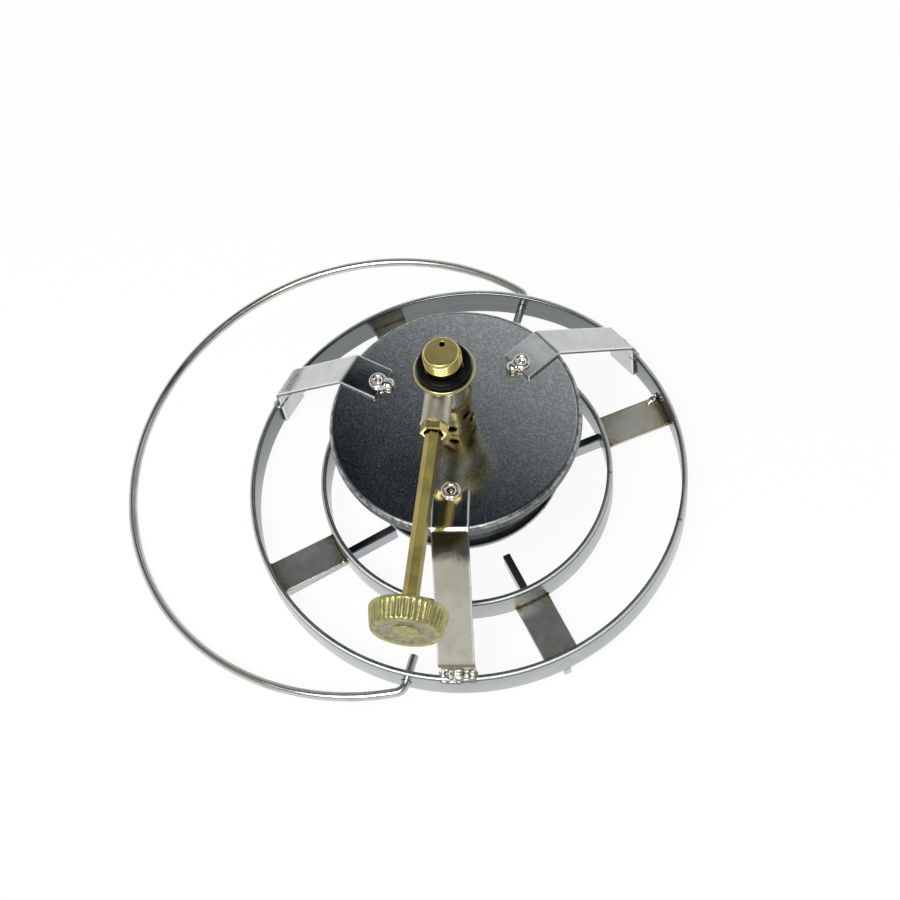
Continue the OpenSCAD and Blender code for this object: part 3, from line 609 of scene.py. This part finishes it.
# Valve body
# Forged barrel with the spindle's boss on its side, satin nickel over brass.
# Its neck sits in the mixing tube, and the inlet, the jet and the gland nut screw into it.
made = metal("satin_nickel", (0.50, 0.485, 0.40), (0.42, 0.40, 0.33), (0.36, 0.46),
             cloud=160.0, grain=2600.0, bump=0.1)
softened("valve_body", made["material"], 0.3 * MM, 3)

# Gas inlet
# Turned brass spigot: a thin flange, a groove for the seal and a fine thread that screws into the cylinder.
# The thread is cut as a helix on the reduced tip; the face keeps the rings of the facing tool.
THREAD_R = 8.0 * MM
THREAD_ROOT = 7.4 * MM
THREAD_TURNS = 4
PITCH = 1.5 * MM
THREAD_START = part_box("inlet_spigot")[1].z - 8.3 * MM
made = turned_brass("inlet_brass", (0.59, 0.485, 0.185), (0.49, 0.40, 0.15), (0.2, 0.28), 1500.0, 0.04)
flange = step_of(made["tree"], made["lines"]["Radius"], THREAD_R + 0.6 * MM, THREAD_R + 1.2 * MM)
tinted(made, flange, (0.46, 0.41, 0.205))
inlet_brass = made["material"]
inlet = softened("inlet_spigot", inlet_brass, 0.25 * MM, 3, flat=True)
for corner in inlet.data.vertices:
    out_r = math.hypot(corner.co.x, corner.co.y)
    if corner.co.z > THREAD_START - 0.3 * MM and out_r > THREAD_ROOT:
        corner.co.x *= THREAD_ROOT / out_r
        corner.co.y *= THREAD_ROOT / out_r


def faces_outward():
    """Turns all faces of the active piece outwards."""
    bpy.ops.object.mode_set(mode="EDIT")
    bpy.ops.mesh.select_all(action="SELECT")
    bpy.ops.mesh.normals_make_consistent(inside=False)
    bpy.ops.object.mode_set(mode="OBJECT")


bpy.ops.object.select_all(action="DESELECT")
bpy.ops.mesh.primitive_plane_add(size=1.0)
thread = bpy.context.object
thread.name = "inlet_thread"
ridge = ((THREAD_ROOT - 0.2 * MM, -0.44 * PITCH), (THREAD_ROOT - 0.2 * MM, 0.44 * PITCH),
         (THREAD_R, -0.17 * PITCH), (THREAD_R, 0.17 * PITCH))
for corner, (out_r, up) in zip(thread.data.vertices, ridge):
    corner.co = (out_r, 0.0, THREAD_START + 0.5 * PITCH + up)
bpy.ops.object.mode_set(mode="EDIT")
bpy.ops.mesh.select_all(action="SELECT")
bpy.ops.mesh.delete(type="ONLY_FACE")
bpy.ops.object.mode_set(mode="OBJECT")
helix = thread.modifiers.new("thread_helix", "SCREW")
helix.angle = 2.0 * math.pi
helix.screw_offset = PITCH
helix.iterations = THREAD_TURNS
helix.steps = 64
helix.render_steps = 64
helix.use_merge_vertices = True
bpy.ops.object.modifier_apply(modifier=helix.name)
faces_outward()
rounding = thread.modifiers.new("rolled_crest", "BEVEL")
rounding.width = 0.15 * MM
rounding.segments = 2
rounding.limit_method = "ANGLE"
rounding.angle_limit = math.radians(25.0)
bpy.ops.object.modifier_apply(modifier=rounding.name)
bpy.ops.object.shade_smooth_by_angle(angle=math.radians(40.0))
thread.data.materials.append(inlet_brass)
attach(thread, "frame")

# Inlet seal and gland packing
# Moulded black rubber: a ring lying on the flange round the thread, and a soft ring round the spindle.
# Neither is fixed; the cylinder presses on the one and the gland nut on the other.
rubber = bpy.data.materials.new("seal_rubber")
rubber.use_nodes = True
tree = rubber.node_tree
shader = tree.nodes["Principled BSDF"]
place = new_node(tree, "TexCoord").outputs["Object"]
dust = new_node(tree, "TexNoise", {"Vector": place, "Scale": 260.0, "Detail": 4.0})
dusty = step_of(tree, dust.outputs["Fac"], 0.4, 0.75)
tree.links.new(mixed(tree, dusty, (0.003, 0.003, 0.004), (0.008, 0.008, 0.009)), shader.inputs["Base Color"])
tree.links.new(math_of(tree, "MULTIPLY_ADD", dusty, 0.12, 0.24), shader.inputs["Roughness"])
shader.inputs["Specular IOR Level"].default_value = 0.07
softened("inlet_seal", rubber, 0.0, angle=60.0)
softened("gland_packing", rubber, 0.1 * MM)

# Gland nut
# Cup-shaped brass hexagon nut, turned from bar and screwed into the boss to press on the packing.
# The stem turns in its mouth, which is painted dark as shade.
STEM_X = frame["joints"][1]["pos_m"][0]
STEM_Z = frame["joints"][1]["pos_m"][2]
CUP_R = 4.06 * MM

# Distance from the axis of the stem.
stem_axis, given, out = group_with("from_stem_axis", {"Vector": "Vector"}, {"Distance": "Float"})
centred = new_node(stem_axis, "VectorMath", {0: given["Vector"], 1: (STEM_X, 0.0, STEM_Z)},
                   operation="SUBTRACT")
square = new_node(stem_axis, "VectorMath", {0: centred.outputs[0], 1: (1.0, 0.0, 1.0)}, operation="MULTIPLY")
away = new_node(stem_axis, "VectorMath", {0: square.outputs[0]}, operation="LENGTH")
stem_axis.links.new(away.outputs["Value"], out["Distance"])

made = metal("gland_brass", (0.53, 0.445, 0.19), (0.40, 0.33, 0.13), (0.2, 0.32), cloud=140.0)
tree = made["tree"]
from_axis = new_node(tree, "Group", {"Vector": made["place"]}, node_tree=stem_axis).outputs["Distance"]
# Painted shade: the nut's bore round the stem is tinted dark.
tinted(made, step_of(tree, from_axis, CUP_R + 0.2 * MM, CUP_R - 0.05 * MM), (0.05, 0.04, 0.02))
softened("gland_nut", made["material"], 0.2 * MM, 3, flat=True)

# Stem and spindle
# Hexagon brass rod drawn to size, bright along its corners, with the needle spindle in its inner end.
# Its outer end is riveted over in the knob and shares the knob's paler colour there.
ROD_TURN = math.radians(14.6)
made = metal("drawn_rod", (0.37, 0.305, 0.10), (0.28, 0.225, 0.073), (0.17, 0.28), cloud=70.0)
tree = made["tree"]
pulled = new_node(tree, "VectorMath", {0: made["place"], 1: (2200.0, 30.0, 2200.0)}, operation="MULTIPLY")
draw_lines = new_node(tree, "TexNoise", {"Vector": pulled.outputs[0], "Scale": 1.0, "Detail": 3.0})
tree.links.new(draw_lines.outputs["Fac"], made["relief"]["Height"])
rod = softened("stem_rod", made["material"], 0.4 * MM, 3, flat=True)
rod.data.transform(Matrix.Translation((STEM_X, 0.0, STEM_Z)) @ Matrix.Rotation(ROD_TURN, 4, "Y")
                   @ Matrix.Translation((-STEM_X, 0.0, -STEM_Z)))
softened("valve_spindle", tube_brass, 0.1 * MM)

# Knob
# Turned brass knob with straight rolled ribs, paler than the rod, its face recessed round the rod's end.
# The recess and the rod's end have a dull, pitted skin.
RIBS = 40
RIB_DEPTH = 0.55 * MM
RIB_START = 1.6 * MM
knob_low, knob_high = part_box("knob")
KNOB_BACK = knob_high.y
KNOB_R = 0.5 * (knob_high.x - knob_low.x)
KNOB_T = knob_high.y - knob_low.y
RIB_END = KNOB_T - 0.3 * MM
BORE_R = 2.6 * MM
FACE_R = KNOB_R - 1.5 * MM
RECESS_R = FACE_R - 3.0 * MM
bpy.ops.object.select_all(action="DESELECT")
bpy.ops.mesh.primitive_circle_add(vertices=RIBS * 12, radius=BORE_R)
knob = bpy.context.object
knob.name = "knob_ribbed"
bpy.ops.object.mode_set(mode="EDIT")
bpy.ops.mesh.select_all(action="SELECT")
outline = [(KNOB_R - 1.9 * MM, 0.0), (KNOB_R - 1.0 * MM, 0.15 * MM), (KNOB_R - 0.3 * MM, 0.6 * MM),
           (KNOB_R - 0.05 * MM, 1.2 * MM), (KNOB_R - 0.1 * MM, 1.7 * MM), (KNOB_R - 0.2 * MM, 2.1 * MM),
           (KNOB_R - 0.25 * MM, 2.5 * MM), (KNOB_R - 0.6 * MM, 4.6 * MM),
           (FACE_R + 0.15 * MM, KNOB_T - 2.0 * MM), (FACE_R, KNOB_T - 1.3 * MM),
           (FACE_R - 0.25 * MM, KNOB_T - 0.6 * MM), (FACE_R - 0.7 * MM, KNOB_T - 0.15 * MM),
           (FACE_R - 1.3 * MM, KNOB_T), (RECESS_R + 0.5 * MM, KNOB_T),
           (RECESS_R + 0.1 * MM, KNOB_T - 0.15 * MM), (RECESS_R - 0.2 * MM, KNOB_T - 0.55 * MM),
           (RECESS_R - 0.8 * MM, KNOB_T - 0.7 * MM), (BORE_R, KNOB_T - 0.7 * MM), (BORE_R, 0.0)]
radius_now, height_now = BORE_R, 0.0
for out_r, up in outline:
    grown = out_r / radius_now
    bpy.ops.mesh.extrude_region_move(TRANSFORM_OT_translate={"value": (0.0, 0.0, up - height_now)})
    bpy.ops.transform.resize(value=(grown, grown, 1.0), center_override=(0.0, 0.0, up))
    radius_now, height_now = out_r, up
bpy.ops.mesh.select_all(action="SELECT")
bpy.ops.mesh.remove_doubles(threshold=0.001 * MM)
bpy.ops.object.mode_set(mode="OBJECT")
faces_outward()
for corner in knob.data.vertices:
    out_r = math.hypot(corner.co.x, corner.co.y)
    if out_r > FACE_R - 0.4 * MM and RIB_START < corner.co.z < RIB_END:
        wave = 0.5 + 0.5 * math.cos(RIBS * math.atan2(corner.co.y, corner.co.x))
        deep = min(1.0, (corner.co.z - RIB_START) / (0.9 * MM), (RIB_END - corner.co.z) / (1.0 * MM))
        kept = 1.0 - deep * RIB_DEPTH * (1.0 - wave ** 0.6) / out_r
        corner.co.x *= kept
        corner.co.y *= kept
bpy.ops.object.shade_smooth_by_angle(angle=math.radians(60.0))
knob.data.transform(Matrix.Translation((STEM_X, KNOB_BACK, STEM_Z))
                    @ Matrix.Rotation(math.radians(90.0), 4, "X"))
made = metal("knob_brass", (0.46, 0.43, 0.195), (0.28, 0.265, 0.13), (0.36, 0.46),
             cloud=240.0, grain=1500.0, bump=0.15)
tree = made["tree"]
from_axis = new_node(tree, "Group", {"Vector": made["place"]}, node_tree=stem_axis).outputs["Distance"]
recess = step_of(tree, from_axis, RECESS_R + 0.6 * MM, RECESS_R - 0.2 * MM)
pits = new_node(tree, "TexNoise", {"Vector": made["place"], "Scale": 620.0, "Detail": 3.0, "Roughness": 0.6})
tree.links.new(math_of(tree, "MULTIPLY_ADD", recess, 0.9, 0.15), made["relief"]["Strength"])
tree.links.new(pits.outputs["Fac"], made["relief"]["Height"])
pan = math_of(tree, "MULTIPLY", recess, step_of(tree, from_axis, 5.7 * MM, 6.5 * MM, 0.0, 0.6))
tinted(made, pan, (0.33, 0.33, 0.26))
tinted(made, step_of(tree, from_axis, 6.3 * MM, 5.5 * MM, 0.0, 0.5), (0.42, 0.39, 0.14))
grime = math_of(tree, "MULTIPLY", recess, step_of(tree, pits.outputs["Fac"], 0.52, 0.36, 0.0, 0.75))
tinted(made, grime, (0.20, 0.175, 0.10))
groove = band_of(tree, from_axis, (FACE_R - 1.2 * MM, FACE_R - 0.7 * MM),
                 (KNOB_R - 1.0 * MM, FACE_R - 0.5 * MM))
tinted(made, math_of(tree, "MULTIPLY", groove, 0.35), (0.24, 0.21, 0.10))
knob.data.materials.append(made["material"])
rod.data.materials.append(made["material"])
for face in rod.data.polygons:
    if face.center.y < KNOB_BACK - 5.0 * MM:
        face.material_index = 1
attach(knob, "control")
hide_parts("knob")

# Bail
# Plated steel wire bent to a wide loop, its ends turned in and sprung into two holes of the outer ring.
# One half is drawn along its path from the middle of the loop to the end, then mirrored.
WIRE_R = 2.0 * MM
BAIL_AZ = math.radians(81.0)
PIVOT_Z = frame["joints"][0]["pos_m"][2]
LOOP_AT = 47.6 * MM
BEND_R = 5.0 * MM
BEND_AT = OUTER_R + 1.42 * MM
PIN_END = RING_WALL - 10.0 * MM
PIN_CHAMFER = 0.4 * MM
LOOP_R = BEND_R + math.hypot(BEND_AT, LOOP_AT - BEND_R)
loop_turn = math.radians(90.0) + math.atan2(LOOP_AT - BEND_R, BEND_AT)
bend_turn = math.radians(180.0) - loop_turn
droop = math.asin((PIVOT_Z - WIRE_R) / (LOOP_AT + LOOP_R))
bpy.ops.object.select_all(action="DESELECT")
bpy.ops.mesh.primitive_circle_add(vertices=24, radius=WIRE_R, location=(0.0, LOOP_AT + LOOP_R, 0.0),
                                  rotation=(0.0, math.radians(90.0), 0.0))
bail = bpy.context.object
bail.name = "bail_wire"
bpy.ops.object.transform_apply(location=True, rotation=True, scale=True)
bpy.ops.object.mode_set(mode="EDIT")
bpy.ops.mesh.select_all(action="SELECT")
bpy.ops.mesh.spin(steps=72, angle=loop_turn, center=(0.0, LOOP_AT, 0.0), axis=(0.0, 0.0, 1.0))
bpy.ops.mesh.spin(steps=14, angle=bend_turn, center=(BEND_AT, BEND_R, 0.0), axis=(0.0, 0.0, 1.0))
for run in (PIN_END + PIN_CHAMFER - BEND_AT, -PIN_CHAMFER):
    bpy.ops.mesh.extrude_region_move(TRANSFORM_OT_translate={"value": (run, 0.0, 0.0)})
bpy.ops.transform.resize(value=(1.0, 0.8, 0.8), center_override=(PIN_END, 0.0, 0.0))
bpy.ops.mesh.edge_face_add()
bpy.ops.object.mode_set(mode="OBJECT")
both = bail.modifiers.new("other_half", "MIRROR")
both.merge_threshold = 0.05 * MM
bpy.ops.object.modifier_apply(modifier=both.name)
faces_outward()
bpy.ops.object.shade_smooth_by_angle(angle=math.radians(35.0))
bail.data.transform(Matrix.Translation((0.0, 0.0, PIVOT_Z)) @ Matrix.Rotation(BAIL_AZ, 4, "Z")
                    @ Matrix.Rotation(-droop, 4, "X"))
made = metal("plated_wire", (0.58, 0.60, 0.57), (0.46, 0.475, 0.45), (0.18, 0.3), cloud=60.0)
bail.data.materials.append(made["material"])
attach(bail, "bail")
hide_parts("bail_handle")

# Floor, light and camera
# Pale floor under the stove, a soft lamp above the camera, and a white room with a dark ceiling.
# A bright window stands behind to the right; the camera itself sees only white.
FLOOR_SIZE = 8.0
FLOOR_GLOW = 0.92
WHITE = (1.0, 1.0, 1.0)
CEILING = (0.010, 0.016, 0.024)
ROOM_STOPS = ((0.0, WHITE), (0.2, (0.95, 0.95, 0.94)), (0.44, (0.54, 0.53, 0.49)), (0.66, (0.2, 0.2, 0.195)),
              (0.8, CEILING), (1.0, CEILING))
WINDOW_WAY = (0.4, 1.0, 0.0)
LAMP_AT = Vector((-0.15, -0.54, 1.1))
LAMP_AIM = Vector((0.0, 0.0, 0.05))
CAMERA_AT = (0.11261, -0.37110, 0.74253)
CAMERA_TURN = (28.5505, 5.9465, 6.8193)

bpy.ops.object.select_all(action="DESELECT")
bpy.ops.mesh.primitive_plane_add(size=FLOOR_SIZE)
floor = bpy.context.object
floor.name = "floor"
paper = bpy.data.materials.new("pale_floor")
paper.use_nodes = True
tree = paper.node_tree
shader = tree.nodes["Principled BSDF"]
shader.inputs["Base Color"].default_value = (0.93, 0.93, 0.93, 1.0)
shader.inputs["Roughness"].default_value = 0.9
shader.inputs["Specular IOR Level"].default_value = 0.0
glow = new_node(tree, "Emission", {"Color": (*WHITE, 1.0), "Strength": 1.0})
rays = new_node(tree, "LightPath").outputs
seen = math_of(tree, "MAXIMUM", rays["Is Camera Ray"], rays["Is Glossy Ray"])
seen = math_of(tree, "MAXIMUM", seen, rays["Is Transmission Ray"])
blend = new_node(tree, "MixShader", {0: math_of(tree, "MULTIPLY", seen, FLOOR_GLOW), 1: shader.outputs[0],
                                     2: glow.outputs[0]})
tree.links.new(blend.outputs[0], tree.nodes["Material Output"].inputs["Surface"])
floor.data.materials.append(paper)

world = bpy.data.worlds.new("white_room")
bpy.context.scene.world = world
world.use_nodes = True
tree = world.node_tree
sky = tree.nodes["Background"]
look = new_node(tree, "TexCoord").outputs["Generated"]
up = new_node(tree, "SeparateXYZ", {"Vector": look}).outputs["Z"]
room = ramp_of(tree, up, ROOM_STOPS)
toward = new_node(tree, "VectorMath", {0: look, 1: WINDOW_WAY}, operation="DOT_PRODUCT").outputs["Value"]
nearer = math_of(tree, "MULTIPLY", step_of(tree, toward, 0.2, 0.0), step_of(tree, up, 0.66, 0.8))
room = mixed(tree, nearer, room, (0.30, 0.305, 0.31))
window = band_of(tree, toward, (0.423, 0.484), (0.75, 0.6))
window = math_of(tree, "MULTIPLY", window, step_of(tree, up, 0.6, 0.7))
room = mixed(tree, window, room, (0.80, 0.83, 0.83))
room = mixed(tree, new_node(tree, "LightPath").outputs["Is Camera Ray"], room, WHITE)
tree.links.new(room, sky.inputs["Color"])
sky.inputs["Strength"].default_value = 1.0

lamp = bpy.data.lights.new("key_lamp", "AREA")
lamp.shape = "DISK"
lamp.size = 0.8
lamp.energy = 13.0
lamp.color = (1.0, 0.98, 0.94)
lamp_stand = bpy.data.objects.new("key_lamp", lamp)
bpy.context.scene.collection.objects.link(lamp_stand)
lamp_stand.location = LAMP_AT
lamp_stand.rotation_euler = (LAMP_AIM - LAMP_AT).to_track_quat("-Z", "Y").to_euler()

camera = bpy.data.cameras.new("camera")
camera.lens = 72.0
camera.sensor_width = 36.0
camera.clip_start = 0.01
camera_stand = bpy.data.objects.new("camera", camera)
bpy.context.scene.collection.objects.link(camera_stand)
camera_stand.location = CAMERA_AT
camera_stand.rotation_euler = [math.radians(turn) for turn in CAMERA_TURN]
bpy.context.scene.camera = camera_stand
bpy.context.scene.view_settings.view_transform = "Standard"

bpy.context.view_layer.update()
